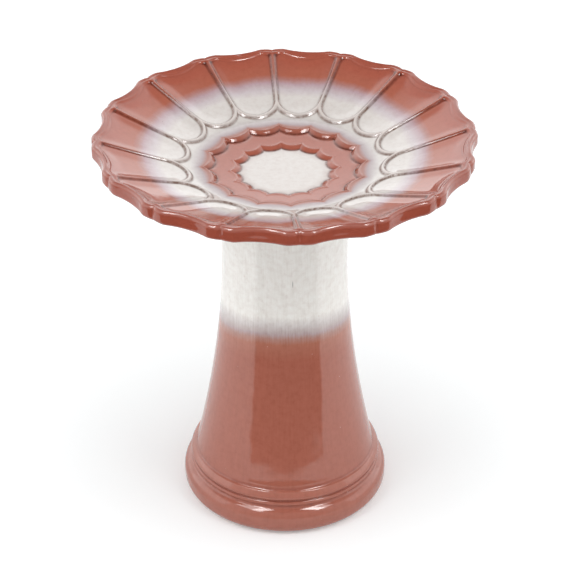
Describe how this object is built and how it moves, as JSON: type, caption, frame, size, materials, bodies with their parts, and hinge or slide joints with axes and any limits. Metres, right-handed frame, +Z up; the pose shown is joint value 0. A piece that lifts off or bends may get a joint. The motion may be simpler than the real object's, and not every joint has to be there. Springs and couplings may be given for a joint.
{
  "type": "bird bath",
  "caption": "Wide shallow petalled bowl with a wavy rim and scalloped centre rings, resting on a hollow flared pedestal with rounded foot rings, in glossy two-tone glazed ceramic.",
  "frame": {"origin": "centre of the pedestal's foot, on the ground", "axes": "+Z up along the pedestal's axis; +X and +Y lie along ribs of the bowl"},
  "size_m": [0.46, 0.46, 0.504],
  "materials": {
    "bowl_glaze": "coral glaze fading to white, glossy",
    "pedestal_glaze": "coral glaze below, white glaze above, glossy",
    "pad_rubber": "clear satin rubber"
  },
  "bodies": {
    "pedestal": {"pedestal": "pedestal_glaze", "bumper_pad_1": "pad_rubber", "bumper_pad_2": "pad_rubber", "bumper_pad_3": "pad_rubber", "bumper_pad_4": "pad_rubber"},
    "bowl": {"bowl": "bowl_glaze"}
  },
  "joints": [
    {"name": "bowl_lift", "type": "slide", "parent": "pedestal", "child": "bowl", "axis": [0, 0, 1], "range_m": [0, 0.1]}
  ]
}
